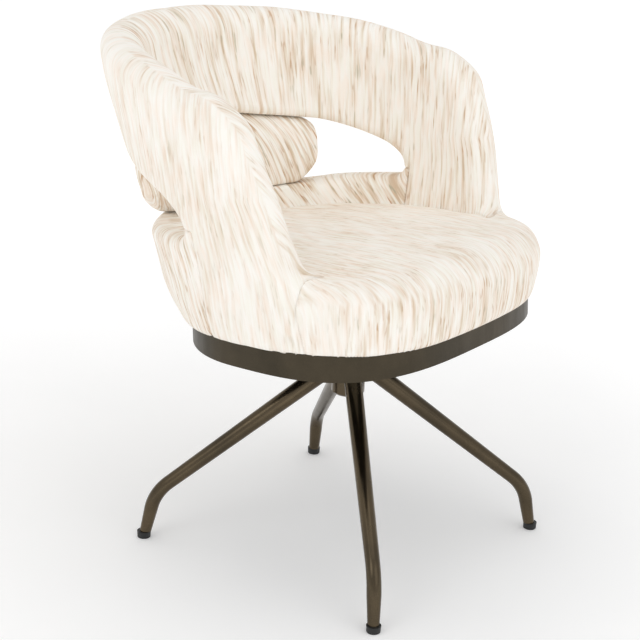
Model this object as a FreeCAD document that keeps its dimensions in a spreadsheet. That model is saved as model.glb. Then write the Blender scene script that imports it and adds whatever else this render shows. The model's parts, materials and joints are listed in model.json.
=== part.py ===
import FreeCAD, Part
import math
import os
import Sketcher
from FreeCAD import Vector, Placement, Rotation

# Swivel dining chair. Millimetres, +Z up, front of the chair = -Y.
# Origin: on the floor, under the middle of the chair's overall box. The swivel axis
# stands in front of it, because the back overhangs the base to the rear.

doc = FreeCAD.newDocument("swivel_dining_chair")
sheet = doc.addObject("Spreadsheet::Sheet", "Sheet")

CELLS = [
    # base
    ("foot_circle_r", 305.0), ("bend_circle_r", 288.8), ("bend_height", 74.4),
    ("leg_meet_height", 298.6), ("leg_bend_r", 70.0), ("leg_r_hub", 14.0),
    ("leg_r_bend", 10.5), ("leg_r_foot", 7.6), ("leg_wall", 1.8), ("leg_cut_z", 10.5),
    ("hub_r", 25.0), ("hub_bottom", 236.0), ("hub_top", 320.0), ("hub_bore_r", 16.0),
    ("hub_recess_r", 20.0), ("hub_recess_top", 250.0), ("hub_chamfer", 3.0),
    ("glide_r", 10.6), ("glide_height", 12.5),
    # swivel
    ("shaft_r", 12.0), ("shaft_clear", 0.05), ("bush_len", 20.0), ("bush_flange_r", 22.0),
    ("bush_flange_low_r", 19.5), ("bush_flange_len", 3.0), ("thrust_len", 2.0), ("swivel_gap", 0.1),
    ("flange_r", 24.0), ("flange_len", 6.0), ("boss_r", 20.0), ("retain_len", 2.0),
    ("retain_r", 18.0), ("retain_bolt_r", 4.0),
    # seat assembly, measured in the tilted seat frame
    ("seat_pivot_z", 346.2), ("seat_tilt_deg", 4.5),
    ("ring_height", 38.0), ("ring_wall", 4.0), ("ring_width", 518.5), ("ring_length", 427.0),
    ("ring_centre_y", 13.7), ("ring_taper", 0.12), ("ring_exp_front", 3.1), ("ring_exp_rear", 2.16),
    ("ring_split", 0.545), ("board_bottom", 22.0), ("board_thick", 16.0), ("board_gap", 1.0),
    ("plate_size", 200.0), ("plate_thick", 4.0), ("plate_bolt_pitch", 160.0), ("plate_hole_r", 3.4),
    ("cushion_top", 147.0), ("wall_thick", 66.0), ("arm_front_y", 100.0),
    ("band_seam_y", 80.0), ("rim_seam_y", 52.0),
    ("rail_centre_r", 283.0), ("rail_r", 8.0), ("rail_centre_y", 33.0), ("rail_z", 345.0),
    ("post_r", 8.0), ("foot_plate_r", 19.0), ("foot_plate_len", 3.0),
    # swivel axis, ahead of the origin
    ("axis_y", -92.4),
]
for i, (alias, value) in enumerate(CELLS):
    row = i + 1
    sheet.set("A%d" % row, alias)
    sheet.set("B%d" % row, str(value))
    sheet.setAlias("B%d" % row, alias)
doc.recompute()


def val(alias):
    return float(sheet.get(alias))


PARTS = []


AXIS = Placement(Vector(0, val("axis_y"), 0), Rotation())


def keep(obj, label, placement=None):
    # each piece is drawn about the swivel axis, then set at its place in the chair's frame
    obj.Label = label
    obj.Placement = AXIS.multiply(placement if placement is not None else Placement())
    PARTS.append(obj)
    return obj


TILT = Placement(Vector(0, 0, val("seat_pivot_z")), Rotation(Vector(1, 0, 0), -val("seat_tilt_deg")))


# ---------------------------------------------------------------- helpers

def plane_of(body, role):
    return [f for f in body.Origin.OriginFeatures if f.Role == role][0]


def attach(body, name, role):
    sk = body.newObject("Sketcher::SketchObject", name)
    sk.AttachmentSupport = (plane_of(body, role), [""])
    sk.MapMode = "FlatFace"
    return sk


def number(text):
    return float(cell_sum(text)) if isinstance(text, str) else float(text)


def cell_sum(text):
    # sums and differences of sheet cells and numbers, such as "hub_top + 3"
    total, sign = 0.0, 1.0
    for word in text.replace("+", " + ").replace("-", " - ").split():
        if word == "+":
            sign = 1.0
        elif word == "-":
            sign = -1.0
        else:
            try:
                v = float(word)
            except ValueError:
                v = val(word)
            total += sign * v
            sign = 1.0
    return total


def expression(text):
    out = []
    for word in text.replace("+", " + ").replace("-", " - ").split():
        if word in "+-":
            out.append(word)
        else:
            try:
                float(word)
                out.append(word)
            except ValueError:
                out.append("Sheet." + word)
    return " ".join(out)


def profile(body, name, role, pts):
    """Closed polygon; each coordinate is a number or a sum of sheet cells."""
    sk = attach(body, name, role)
    xy = [(number(a), number(b)) for a, b in pts]
    n = len(xy)
    for i in range(n):
        a, b = xy[i], xy[(i + 1) % n]
        sk.addGeometry(Part.LineSegment(Vector(a[0], a[1], 0), Vector(b[0], b[1], 0)), False)
    for i in range(n):
        sk.addConstraint(Sketcher.Constraint("Coincident", i, 2, (i + 1) % n, 1))
    for i in range(n):
        for k, kind, ax in ((0, "DistanceX", -2), (1, "DistanceY", -1)):
            v = xy[i][k]
            if abs(v) < 1e-9:
                sk.addConstraint(Sketcher.Constraint("PointOnObject", i, 1, ax))
            else:
                c = sk.addConstraint(Sketcher.Constraint(kind, -1, 1, i, 1, v))
                if isinstance(pts[i][k], str):
                    sk.setExpression("Constraints[%d]" % c, expression(pts[i][k]))
    return sk


def turned(label, pts):
    """A piece turned about the vertical axis: radius, height profile."""
    body = doc.addObject("PartDesign::Body", label)
    sk = profile(body, label + "_profile", "XZ_Plane", pts)
    rev = body.newObject("PartDesign::Revolution", label + "_turn")
    rev.Profile = sk
    rev.ReferenceAxis = (sk, ["V_Axis"])
    rev.Angle = 360.0
    sk.Visibility = False
    doc.recompute()
    return body


def cyl(name, r, length, place=None, r_expr=None, h_expr=None):
    o = doc.addObject("Part::Cylinder", name)
    o.Radius = r
    o.Height = length
    if r_expr:
        o.setExpression("Radius", expression(r_expr))
    if h_expr:
        o.setExpression("Height", expression(h_expr))
    if place is not None:
        o.Placement = place
    return o


def at(x, y, z):
    return Placement(Vector(x, y, z), Rotation())


# ---------------------------------------------------------------- base

# hub: tube with a bore for the two bushes and a recess below for the retaining bolt
keep(turned("hub_housing", [
    ("hub_recess_r", "hub_bottom"), ("hub_r - hub_chamfer", "hub_bottom"),
    ("hub_r", "hub_bottom + hub_chamfer"), ("hub_r", "hub_top"), ("hub_bore_r", "hub_top"),
    ("hub_bore_r", "hub_recess_top"), ("hub_recess_r", "hub_recess_top")]), "hub_housing")

keep(turned("upper_bush", [
    ("shaft_r + shaft_clear", "hub_top - bush_len"), ("hub_bore_r", "hub_top - bush_len"),
    ("hub_bore_r", "hub_top"), ("bush_flange_r", "hub_top"),
    ("bush_flange_r", "hub_top + bush_flange_len"),
    ("shaft_r + shaft_clear", "hub_top + bush_flange_len")]), "upper_bush")

keep(turned("lower_bush", [
    ("shaft_r + shaft_clear", "hub_recess_top - bush_flange_len"),
    ("bush_flange_low_r", "hub_recess_top - bush_flange_len"),
    ("bush_flange_low_r", "hub_recess_top"), ("hub_bore_r", "hub_recess_top"),
    ("hub_bore_r", "hub_recess_top + bush_len"),
    ("shaft_r + shaft_clear", "hub_recess_top + bush_len")]), "lower_bush")

keep(turned("thrust_ring", [
    ("shaft_r + 0.3", "hub_top + bush_flange_len"),
    ("bush_flange_r", "hub_top + bush_flange_len"),
    ("bush_flange_r", "hub_top + bush_flange_len + thrust_len"),
    ("shaft_r + 0.3", "hub_top + bush_flange_len + thrust_len")]), "thrust_ring")

# snap cap that closes the recess under the hub
keep(turned("hub_cap", [
    (0.0, "hub_bottom"), ("hub_recess_r", "hub_bottom"),
    ("hub_recess_r", "hub_bottom + 5"), ("hub_recess_r - 1.4", "hub_bottom + 5"),
    ("hub_recess_r - 1.4", "hub_bottom + 1.8"), (0.0, "hub_bottom + 1.8")]), "hub_cap")


# legs: straight cone from the hub, an elbow, and a short cone down to the glide
def leg_solid(tag, shrink):
    """One leg in the XZ plane, radially along +X; shrink is the wall for the inside."""
    rb, zb, zm = val("bend_circle_r"), val("bend_height"), val("leg_meet_height")
    rf = val("foot_circle_r")
    a = math.atan2(zm - zb, rb)             # fall of the upper run
    b = math.atan2(zb, rf - rb)             # fall of the lower run
    turn = b - a
    rad = val("leg_bend_r")
    tl = rad * math.tan(turn / 2)
    ua = Vector(math.cos(a), 0, -math.sin(a))
    ub = Vector(math.cos(b), 0, -math.sin(b))
    corner = Vector(rb, 0, zb)
    p0 = Vector(0, 0, zm)
    p1 = corner - ua * tl
    p2 = corner + ub * tl
    p3 = Vector(rf, 0, 0) + ub * 14.0
    top = doc.addObject("Part::Cone", tag + "_run")
    top.Radius1 = val("leg_r_hub") - shrink
    top.Radius2 = val("leg_r_bend") - shrink
    top.Height = (p1 - p0).Length
    for prop, cell in (("Radius1", "leg_r_hub"), ("Radius2", "leg_r_bend")):
        top.setExpression(prop, "Sheet.%s%s" % (cell, " - Sheet.leg_wall" if shrink else ""))
    top.Placement = Placement(p0, Rotation(Vector(0, 0, 1), ua))
    low = doc.addObject("Part::Cone", tag + "_foot")
    low.Radius1 = val("leg_r_bend") - shrink
    low.Radius2 = val("leg_r_foot") - shrink
    low.Height = (p3 - p2).Length
    for prop, cell in (("Radius1", "leg_r_bend"), ("Radius2", "leg_r_foot")):
        low.setExpression(prop, "Sheet.%s%s" % (cell, " - Sheet.leg_wall" if shrink else ""))
    low.Placement = Placement(p2, Rotation(Vector(0, 0, 1), ub))
    # elbow: part of a torus, its centre below and inside the bend
    na = Vector(-math.sin(a), 0, -math.cos(a))
    c = p1 + na * rad
    elbow = doc.addObject("Part::Torus", tag + "_elbow")
    elbow.Radius1 = rad
    elbow.Radius2 = val("leg_r_bend") - shrink
    elbow.setExpression("Radius1", "Sheet.leg_bend_r")
    elbow.setExpression("Radius2", "Sheet.leg_r_bend%s" % (" - Sheet.leg_wall" if shrink else ""))
    elbow.Angle1 = -180
    elbow.Angle2 = 180
    elbow.Angle3 = math.degrees(turn)
    # local X of the torus points from its centre to the start of the elbow
    start = (p1 - c).normalize()
    axis = Vector(0, 1, 0)
    rot = Rotation(start, axis.cross(start), axis, "XYZ")
    elbow.Placement = Placement(c, rot)
    fuse = doc.addObject("Part::MultiFuse", tag + "_all")
    fuse.Shapes = [top, elbow, low]
    return fuse


def leg(label, angle):
    outer = leg_solid(label + "_outer", 0.0)
    inner = leg_solid(label + "_inner", val("leg_wall"))
    hollow = doc.addObject("Part::Cut", label + "_tube")
    hollow.Base, hollow.Tool = outer, inner
    # the tube ends: coped to the hub, and level where it stands in the glide
    hub = cyl(label + "_cope", val("hub_r"), 400, at(0, 0, 0), r_expr="hub_r")
    floor = doc.addObject("Part::Box", label + "_trim")
    floor.Length, floor.Width, floor.Height = 200, 200, 50
    floor.Placement = at(220, -100, val("leg_cut_z") - 50)
    tools = doc.addObject("Part::MultiFuse", label + "_tools")
    tools.Shapes = [hub, floor]
    cut = doc.addObject("Part::Cut", label)
    cut.Base, cut.Tool = hollow, tools
    keep(cut, label, Placement(Vector(0, 0, 0), Rotation(Vector(0, 0, 1), angle)))


LEGS = (("front_left", -45.0), ("front_right", -135.0), ("rear_left", 45.0), ("rear_right", 135.0))
for word, angle in LEGS:
    leg("leg_" + word, angle)


# foot glides: a cup round the tube's end, its sole flat on the floor, with a stem inside the tube
def glide(label, angle):
    rf, rb, zb = val("foot_circle_r"), val("bend_circle_r"), val("bend_height")
    ub = Vector(rf - rb, 0, -zb).normalize()
    cup = doc.addObject("Part::Cone", label + "_cup")
    cup.Radius1, cup.Radius2, cup.Height = val("glide_r") - 0.6, val("glide_r"), val("leg_cut_z")
    cup.setExpression("Radius2", "Sheet.glide_r")
    cup.setExpression("Height", "Sheet.leg_cut_z")
    cup.Placement = at(rf, 0, 0)
    stem = doc.addObject("Part::Cylinder", label + "_stem")
    stem.Radius = val("leg_r_foot") - val("leg_wall") - 0.6
    stem.Height = 22
    stem.Placement = Placement(Vector(rf, 0, 0) - ub * 4.0, Rotation(Vector(0, 0, 1), ub * -1.0))
    both = doc.addObject("Part::MultiFuse", label + "_both")
    both.Shapes = [cup, stem]
    edge = doc.addObject("Part::Chamfer", label)
    edge.Base = both
    doc.recompute()
    ids = [i + 1 for i, e in enumerate(both.Shape.Edges)
           if e.BoundBox.ZMax < 0.01 and isinstance(e.Curve, Part.Circle)]
    edge.Edges = [(i, 1.0, 1.0) for i in ids]
    keep(edge, label, Placement(Vector(0, 0, 0), Rotation(Vector(0, 0, 1), angle)))


for word, angle in LEGS:
    glide("glide_" + word, angle)

# ---------------------------------------------------------------- swivel

Z0 = val("hub_top") + val("bush_flange_len") + val("thrust_len") + val("swivel_gap")
ZE = val("hub_recess_top") - val("bush_flange_len") - val("swivel_gap")
shaft = turned("swivel_shaft", [
    (0.0, ZE + 20.0), ("retain_bolt_r", ZE + 20.0), ("retain_bolt_r", ZE), ("shaft_r", ZE),
    ("shaft_r", Z0), ("flange_r", Z0), ("flange_r", Z0 + val("flange_len")),
    ("boss_r", Z0 + val("flange_len")), ("boss_r", 374.0), (0.0, 374.0)])
slab = doc.addObject("Part::Box", "spindle_slab")
slab.Length, slab.Width, slab.Height = 100, 100, 40
slab.Placement = TILT.multiply(at(-50, -50, val("board_bottom") - val("plate_thick")))
spindle = doc.addObject("Part::Cut", "swivel_spindle")
spindle.Base, spindle.Tool = shaft, slab
keep(spindle, "swivel_spindle")

keep(turned("retaining_washer", [
    ("retain_bolt_r + 0.3", ZE - 2.0), ("retain_r", ZE - 2.0), ("retain_r", ZE),
    ("retain_bolt_r + 0.3", ZE)]), "retaining_washer")

head = doc.addObject("Part::Prism", "retaining_head")
head.Polygon, head.Circumradius, head.Height = 6, 7.5, 5.3
head.Placement = at(0, 0, ZE - 2.0 - 5.3)
shank = cyl("retaining_shank", val("retain_bolt_r") - 0.05, 20.0, at(0, 0, ZE - 2.0),
            r_expr="retain_bolt_r - 0.05")
rb_ = doc.addObject("Part::MultiFuse", "retaining_bolt")
rb_.Shapes = [head, shank]
keep(rb_, "retaining_bolt")

# ---------------------------------------------------------------- seat frame: swivel plate

plate = doc.addObject("PartDesign::Body", "swivel_plate")
sk = attach(plate, "plate_outline", "XY_Plane")
half = val("plate_size") / 2
rc = 12.0
k = half - rc
segs = [((-k, -half), (k, -half)), ((half, -k), (half, k)), ((k, half), (-k, half)), ((-half, k), (-half, -k))]
arcs = [((k, -k), -90, 0), ((k, k), 0, 90), ((-k, k), 90, 180), ((-k, -k), 180, 270)]
for i in range(4):
    (x0, y0), (x1, y1) = segs[i]
    sk.addGeometry(Part.LineSegment(Vector(x0, y0, 0), Vector(x1, y1, 0)), False)
    (cx, cy), a0, a1 = arcs[i]
    sk.addGeometry(Part.ArcOfCircle(Part.Circle(Vector(cx, cy, 0), Vector(0, 0, 1), rc),
                                    math.radians(a0), math.radians(a1)), False)
for i in range(8):
    sk.addConstraint(Sketcher.Constraint("Tangent", i, 2, (i + 1) % 8, 1))
sk.addConstraint(Sketcher.Constraint("Horizontal", 0))
sk.addConstraint(Sketcher.Constraint("Vertical", 2))
for g in (3, 5, 7):
    sk.addConstraint(Sketcher.Constraint("Equal", 1, g))
sk.addConstraint(Sketcher.Constraint("Radius", 1, rc))
c = sk.addConstraint(Sketcher.Constraint("DistanceY", -1, 1, 4, 1, half))
sk.setExpression("Constraints[%d]" % c, "Sheet.plate_size / 2")
c = sk.addConstraint(Sketcher.Constraint("DistanceX", -1, 1, 2, 1, half))
sk.setExpression("Constraints[%d]" % c, "Sheet.plate_size / 2")
c = sk.addConstraint(Sketcher.Constraint("DistanceY", 0, 1, -1, 1, half))
sk.setExpression("Constraints[%d]" % c, "Sheet.plate_size / 2")
c = sk.addConstraint(Sketcher.Constraint("DistanceX", 6, 1, -1, 1, half))
sk.setExpression("Constraints[%d]" % c, "Sheet.plate_size / 2")
pad = plate.newObject("PartDesign::Pad", "plate_pad")
pad.Profile = sk
pad.Length = val("plate_thick")
pad.setExpression("Length", "Sheet.plate_thick")
doc.recompute()
hs = attach(plate, "plate_holes", "XY_Plane")
pitch = val("plate_bolt_pitch") / 2
for i, (sx, sy) in enumerate(((1, 1), (-1, 1), (-1, -1), (1, -1))):
    hs.addGeometry(Part.Circle(Vector(sx * pitch, sy * pitch, 0), Vector(0, 0, 1), val("plate_hole_r")), False)
    c = hs.addConstraint(Sketcher.Constraint("Radius", i, val("plate_hole_r")))
    hs.setExpression("Constraints[%d]" % c, "Sheet.plate_hole_r")
cutf = plate.newObject("PartDesign::Pocket", "plate_pocket")
cutf.Profile = hs
cutf.Type = "ThroughAll"
cutf.Midplane = True
doc.recompute()
sk.Visibility = False
hs.Visibility = False
keep(plate, "swivel_plate", TILT.multiply(at(0, 0, val("board_bottom") - val("plate_thick"))))

PLATE_Z = val("board_bottom") - val("plate_thick")
BOLTS = [(sx * pitch, sy * pitch) for sx, sy in ((1, 1), (-1, 1), (-1, -1), (1, -1))]


def group(label, shapes_list, placement):
    comp = doc.addObject("Part::Compound", label)
    comp.Links = shapes_list
    return keep(comp, label, placement)


heads = []
for i, (x, y) in enumerate(BOLTS):
    hd = doc.addObject("Part::Prism", "bolt_head_%d" % i)
    hd.Polygon, hd.Circumradius, hd.Height = 6, 5.7, 4.0
    hd.Placement = at(x, y, PLATE_Z - 5.5)
    sh = cyl("bolt_shank_%d" % i, 2.95, 21.0, at(x, y, PLATE_Z - 1.5))
    f = doc.addObject("Part::MultiFuse", "bolt_%d" % i)
    f.Shapes = [hd, sh]
    heads.append(f)
group("plate_bolts", heads, TILT)

wash = []
for i, (x, y) in enumerate(BOLTS):
    o1 = cyl("washer_out_%d" % i, 7.0, 1.5, at(x, y, PLATE_Z - 1.5))
    o2 = cyl("washer_in_%d" % i, 3.2, 3.0, at(x, y, PLATE_Z - 2.2))
    w = doc.addObject("Part::Cut", "washer_%d" % i)
    w.Base, w.Tool = o1, o2
    wash.append(w)
group("plate_washers", wash, TILT)

BOARD_TOP = val("board_bottom") + val("board_thick")
tees = []
for i, (x, y) in enumerate(BOLTS):
    fl = cyl("tee_flange_%d" % i, 9.5, 1.5, at(x, y, BOARD_TOP - 1.5))
    br = cyl("tee_barrel_%d" % i, 4.2, 11.5, at(x, y, BOARD_TOP - 12.0))
    hole = cyl("tee_hole_%d" % i, 3.05, 20.0, at(x, y, BOARD_TOP - 14.0))
    fu = doc.addObject("Part::MultiFuse", "tee_body_%d" % i)
    fu.Shapes = [fl, br]
    tn = doc.addObject("Part::Cut", "tee_%d" % i)
    tn.Base, tn.Tool = fu, hole
    tees.append(tn)
group("tee_nuts", tees, TILT)


# ---------------------------------------------------------------- plan outlines

def ring_point(t, inset=0.0):
    """A point of the metal ring's outer outline, and its outward normal."""
    W, L, split = val("ring_width"), val("ring_length"), val("ring_split")

    def raw(t):
        c_, s_ = math.cos(t), math.sin(t)
        n = val("ring_exp_front") if s_ < 0 else val("ring_exp_rear")
        q = (abs(c_) ** n + abs(s_) ** n) ** (-1.0 / n)
        x, y = c_ * q, s_ * q
        Y = y * L * split if s_ < 0 else y * L * (1 - split)
        X = x * W / 2 * (1 - val("ring_taper") * Y / L)
        return Vector(X, Y + val("ring_centre_y"), 0)

    p = raw(t)
    d = raw(t + 1e-4) - raw(t - 1e-4)
    nrm = Vector(d.y, -d.x, 0).normalize()
    return p - nrm * inset


def closed_wire(points):
    curve = Part.BSplineCurve()
    curve.interpolate(Points=points, PeriodicFlag=True)
    return Part.Wire([curve.toShape()])


def ring_wire(inset, z, n=56):
    pts = [ring_point(2 * math.pi * (i + 0.5) / n, inset) for i in range(n)]
    return closed_wire([Vector(p.x, p.y, z) for p in pts])


def prism(wire, height):
    return Part.Face(wire).extrude(Vector(0, 0, height))


# The outer skin of the upholstery, as plan outlines at several heights of the seat frame:
# height, half width, rear extent, front extent, centre
SKIN = [
    (38.0, 260.0, 213.0, 223.0, 13.0),
    (60.0, 273.0, 244.0, 235.0, 13.0),
    (100.0, 278.0, 265.0, 238.0, 14.0),
    (150.0, 288.0, 274.0, 236.0, 16.0),
    (200.0, 299.7, 286.0, 233.0, 18.0),
    (250.0, 305.5, 302.0, 233.0, 20.0),
    (300.0, 310.7, 327.0, 233.0, 22.0),
    (350.0, 313.5, 352.0, 233.0, 24.0),
    (400.0, 315.5, 366.0, 233.0, 26.0),
    (470.0, 317.0, 374.0, 233.0, 28.0),
]


def skin_point(row, t, inset):
    z, a, yr, yf, yc = row

    def raw(t):
        c_, s_ = math.cos(t), math.sin(t)
        n = 2.9 if s_ < 0 else 2.25
        q = (abs(c_) ** n + abs(s_) ** n) ** (-1.0 / n)
        x, y = c_ * q, s_ * q
        b = (yc + yf) if s_ < 0 else (yr - yc)
        Y = y * b
        X = x * a * (1 - 0.10 * Y / 420.0)
        return Vector(X, Y + yc, 0)

    p = raw(t)
    d = raw(t + 1e-4) - raw(t - 1e-4)
    nrm = Vector(d.y, -d.x, 0).normalize()
    return p - nrm * inset + Vector(0, 0, z)


def skin_wire(row, inset, n=44):
    return closed_wire([skin_point(row, 2 * math.pi * (i + 0.5) / n, inset) for i in range(n)])


def skin_solid(inset, rows):
    return Part.makeLoft([skin_wire(r, inset) for r in rows], True, False)


def yz_prism(points, x0, x1):
    w = Part.makePolygon([Vector(x0, y, z) for y, z in points] + [Vector(x0, points[0][0], points[0][1])])
    return Part.Face(w).extrude(Vector(x1 - x0, 0, 0))


def add(label, shape):
    own = shape.Placement
    f = doc.addObject("Part::Feature", label)
    f.Shape = shape
    return keep(f, label, TILT.multiply(own))


# ---------------------------------------------------------------- metal ring with its four tabs

H = val("ring_height")
ring = prism(ring_wire(0.0, 0.0), H).cut(prism(ring_wire(val("ring_wall"), -1.0), H + 2))
TABS = []
zt = val("board_bottom") - 3.0
for t in (0.0, 90.0, 180.0, 270.0):
    p = ring_point(math.radians(t), val("ring_wall") - 0.5)
    inward = Vector(-math.cos(math.radians(t)), -math.sin(math.radians(t)), 0)
    tab = Part.makeBox(28, 30, 3, Vector(0, -15, 0))
    tab.Placement = Placement(Vector(p.x, p.y, zt), Rotation(Vector(1, 0, 0), inward))
    hole_at = Vector(p.x, p.y, 0) + inward * 16
    TABS.append(hole_at)
    ring = ring.fuse(tab)
for q in TABS:
    ring = ring.cut(Part.makeCylinder(2.4, 10, Vector(q.x, q.y, zt - 3)))
add("base_ring", ring.removeSplitter())

screws = []
for i, q in enumerate(TABS):
    screws.append(Part.makeCylinder(4.2, 2.4, Vector(q.x, q.y, zt - 2.4))
                  .fuse(Part.makeCylinder(2.0, 15.0, Vector(q.x, q.y, zt))))
add("ring_screws", Part.makeCompound(screws))

# ---------------------------------------------------------------- steel back frame inside the foam

RC, RR, RY, RZ = val("rail_centre_r"), val("rail_r"), val("rail_centre_y"), val("rail_z")
rail = Part.makeTorus(RC, RR, Vector(0, 0, 0), Vector(0, 0, 1), 0, 360, 190)
rail.Placement = Placement(Vector(0, RY, RZ), Rotation(Vector(0, 0, 1), -5))
add("frame_rail", rail)

POSTS = {
    "arm_post_left": (Vector(226, -20, BOARD_TOP), Vector(RC * math.cos(math.radians(-2)), RY + RC * math.sin(math.radians(-2)), RZ)),
    "arm_post_right": (Vector(-226, -20, BOARD_TOP), Vector(-RC * math.cos(math.radians(-2)), RY + RC * math.sin(math.radians(-2)), RZ)),
    "back_post_left": (Vector(85, 168, BOARD_TOP), Vector(95, RY + math.sqrt(RC ** 2 - 95 ** 2), RZ)),
    "back_post_right": (Vector(-85, 168, BOARD_TOP), Vector(-95, RY + math.sqrt(RC ** 2 - 95 ** 2), RZ)),
}


def foot_holes(name, p):
    # two screws through each foot: fore and aft on the arm posts, side by side on the leaning back posts
    off = Vector(13.0, 0, 0) if name.startswith("back") else Vector(0, 13.0, 0)
    return [Vector(p.x, p.y, BOARD_TOP) - off, Vector(p.x, p.y, BOARD_TOP) + off]


frame_tool = rail.copy()
feet = []
frame_screws = []
for name, (p, q) in POSTS.items():
    d = q - p
    run = Part.makeCylinder(val("post_r"), d.Length + 12, p - d.normalize() * 12, q - p)
    run = run.cut(Part.makeBox(200, 200, 60, Vector(p.x - 100, p.y - 100, BOARD_TOP - 60)))
    foot = Part.makeCylinder(val("foot_plate_r"), val("foot_plate_len"), p)
    post = run.fuse(foot)
    full = post.copy()
    post = post.cut(rail)
    post = max(post.Solids, key=lambda s_: s_.Volume)
    for c0 in foot_holes(name, p):
        frame_screws.append(Part.makeCylinder(3.6, 2.0, c0 + Vector(0, 0, 3.0))
                            .fuse(Part.makeCylinder(1.9, 15.0, c0 - Vector(0, 0, 12.0))))
        post = post.cut(Part.makeCylinder(2.1, 6, c0 - Vector(0, 0, 1)))
    add(name, post)
    top = max(full.cut(Part.makeBox(900, 900, 60, Vector(-450, -450, RZ + 1))).Solids, key=lambda s_: s_.Volume)
    frame_tool = frame_tool.fuse(top)
    frame_tool = frame_tool.fuse(Part.makeCylinder(val("foot_plate_r") + 1.0, 8.0, p))
add("frame_screws", Part.makeCompound(frame_screws))

# ---------------------------------------------------------------- seat board and dust cover

board = prism(ring_wire(val("ring_wall") + val("board_gap"), val("board_bottom")), val("board_thick"))
for x, y in BOLTS:
    board = board.cut(Part.makeCylinder(4.2, 40, Vector(x, y, 0)))
    board = board.cut(Part.makeCylinder(9.5, 5, Vector(x, y, BOARD_TOP - 1.5)))
for q in TABS:
    board = board.cut(Part.makeCylinder(2.0, 14.0, Vector(q.x, q.y, val("board_bottom") - 2)))
for name, (p, q) in POSTS.items():
    for c0 in foot_holes(name, p):
        board = board.cut(Part.makeCylinder(1.9, 13.0, c0 - Vector(0, 0, 12.0)))
add("seat_board", board)

cover = prism(ring_wire(val("ring_wall") + 4.0, val("board_bottom") - 1.2), 1.2)
hp = val("plate_size") / 2 + 2
cover = cover.cut(Part.makeBox(2 * hp, 2 * hp, 10, Vector(-hp, -hp, val("board_bottom") - 5)))
for t, q in zip((0.0, 90.0, 180.0, 270.0), TABS):
    inward = Vector(-math.cos(math.radians(t)), -math.sin(math.radians(t)), 0)
    b = Part.makeBox(44, 36, 10, Vector(-22, -18, 0))
    b.Placement = Placement(Vector(q.x, q.y, val("board_bottom") - 5), Rotation(Vector(1, 0, 0), inward))
    cover = cover.cut(b)
add("dust_cover", cover)

# ---------------------------------------------------------------- upholstery

T = val("wall_thick")
outer = skin_solid(0.0, SKIN)
INSIDE = [(SKIN[0][0] - 6.0,) + SKIN[0][1:]] + SKIN[1:-1] + [(476.0,) + SKIN[-1][1:]]
inner = skin_solid(T, INSIDE)
shell = outer.cut(inner)
F = val("arm_front_y")
# side view of the arms and the back, y and height
SIDE = [(-F - 4, 38), (-F, 60), (-F, 120), (-F + 2, 150), (-F + 11, 200), (-F + 27, 250), (-F + 46, 300),
        (-F + 58, 330), (-37, 352), (-15, 368), (8, 375), (60, 385), (100, 397), (130, 408), (175, 420),
        (220, 430), (300, 441), (400, 456), (400, 38)]
shell = shell.common(yz_prism(SIDE, -400, 400))
# side view of the cut-out
HOLE = [(420, 302), (275, 285), (240, 276), (204, 266), (177, 257), (138, 244), (105, 231), (84, 217),
        (75, 203), (73, 190), (77, 177), (105, 176), (180, 172), (260, 169), (420, 166)]
tub = shell.cut(yz_prism(HOLE, -400, 400))

# the arms run back to the side seams, which stand at the front ends of the cut-out
band_box = Part.makeBox(800, 400, 400, Vector(-400, val("band_seam_y"), 200))
rim_box = Part.makeBox(800, 400, 190, Vector(-400, val("rim_seam_y"), 0))
pieces = {"back_band": tub.common(band_box), "rear_rim": tub.common(rim_box)}
arms = tub.cut(band_box).cut(rim_box)
pieces["arm_left"] = arms.common(Part.makeBox(400, 800, 600, Vector(0, -400, 0)))
pieces["arm_right"] = arms.common(Part.makeBox(400, 800, 600, Vector(-400, -400, 0)))

# seat cushion: fills the tub and comes forward flush with the arms' outer faces
CUSH = [SKIN[0], SKIN[1], (80.0, 275.5, 255.0, 236.0, 13.5), (108.0, 277.0, 262.0, 235.0, 14.0),
        (124.0, 273.0, 262.0, 228.0, 14.0), (138.0, 262.0, 262.0, 213.0, 14.0), (147.0, 242.0, 262.0, 190.0, 14.0)]
CUSH[-1] = (val("cushion_top"),) + CUSH[-1][1:]
front = Part.makeLoft([skin_wire(r, 0.0) for r in CUSH], True, False)
front = front.common(Part.makeBox(800, 400, 400, Vector(-400, -F - 5 - 400, 0)))
mid = skin_solid(T + 0.8, INSIDE)
mid = mid.common(Part.makeBox(800, 800, val("cushion_top") - 38.0, Vector(-400, -F - 5 - 0.5, 38.0)))
cushion = front.fuse(mid).removeSplitter()
pieces["seat_cushion"] = cushion

# lumbar pad in the middle of the cut-out, touching the band above and the rim below
HOLE_IN = [(420, 298.5), (275, 284), (240, 275), (204, 265), (177, 255.5), (130, 239), (130, 176), (180, 173),
           (260, 170), (420, 167.3)]
pad_wall = skin_solid(1.0, SKIN).cut(skin_solid(T - 1.0, SKIN))
lumbar = pad_wall.common(yz_prism(HOLE_IN, -400, 400))
lumbar = lumbar.common(Part.makeBox(392, 300, 300, Vector(-196, 130, 100)))
pieces["lumbar_pad"] = lumbar

for name in ("arm_left", "arm_right", "back_band", "rear_rim", "seat_cushion", "lumbar_pad"):
    s_ = pieces[name].cut(frame_tool)
    solids = sorted(s_.Solids, key=lambda k_: -k_.Volume)
    print(name, "solids", [round(k_.Volume / 1e3) for k_ in solids])
    add(name, solids[0])

# ---------------------------------------------------------------- test and write

doc.recompute()
bad = []
for o in doc.Objects:
    if "Invalid" in o.State or "Error" in o.State:
        bad.append((o.Name, o.State))
for o in PARTS:
    if o.Shape.isNull() or not o.Shape.isValid() or not o.Shape.Solids:
        bad.append((o.Label, "shape"))
if bad:
    raise RuntimeError("failed objects: %s" % bad)

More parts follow.
